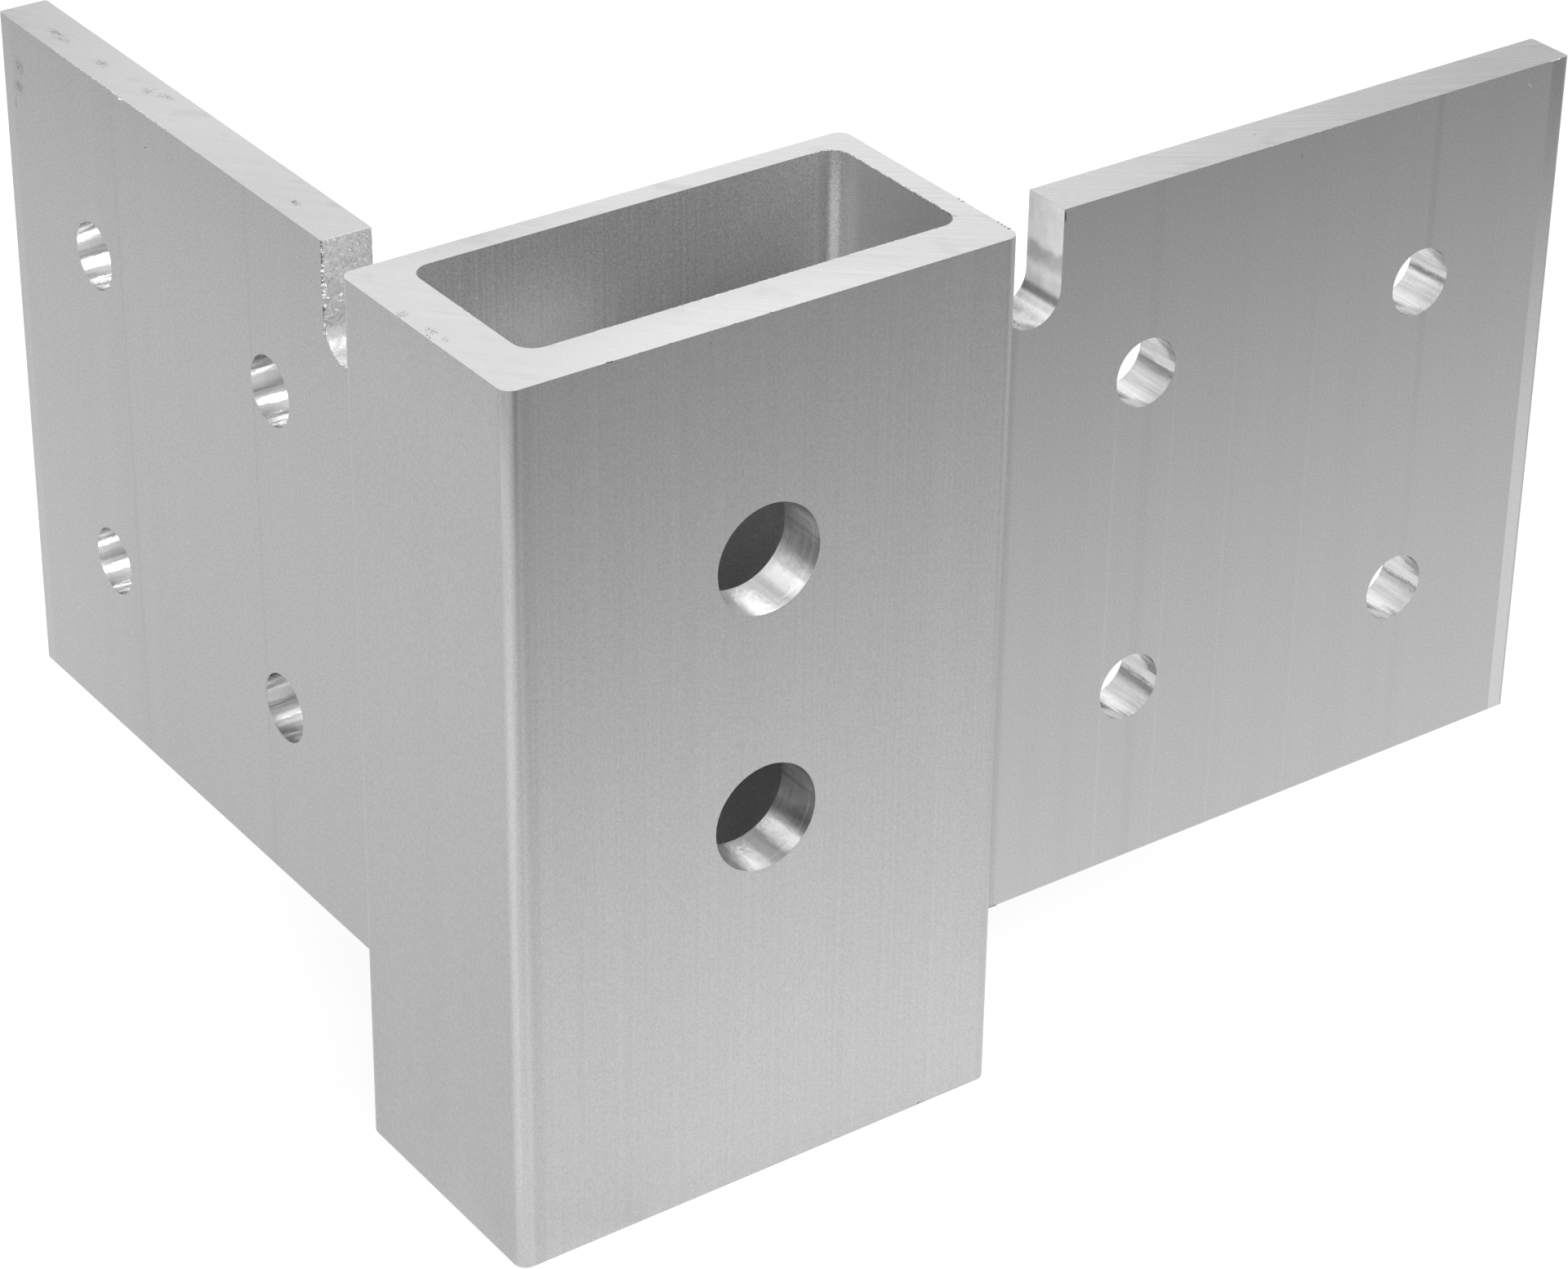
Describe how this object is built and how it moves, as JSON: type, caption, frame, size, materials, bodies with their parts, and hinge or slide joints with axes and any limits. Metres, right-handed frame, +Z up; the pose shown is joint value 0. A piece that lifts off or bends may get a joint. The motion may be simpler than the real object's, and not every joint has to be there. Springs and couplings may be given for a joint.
{
  "type": "corner bracket",
  "caption": "Extruded aluminium corner bracket: a rectangular open-ended pocket with two drilled flanges at right angles, slotted at the top beside the pocket.",
  "frame": {"origin": "on the axis of the rectangular pocket, at the level of the pocket's lower end, which the bracket stands on", "axes": "+Z up along the pocket, +X along the pocket's long side towards the tip of the side flange, +Y away from the pocket's front wall towards the tip of the back flange"},
  "size_m": [0.2265, 0.1765, 0.169],
  "materials": {
    "mill_aluminium": "bare mill-finish extrusion with sawn ends, milled slots and drilled holes"
  },
  "bodies": {
    "root": {"corner_bracket": "mill_aluminium"}
  },
  "joints": []
}
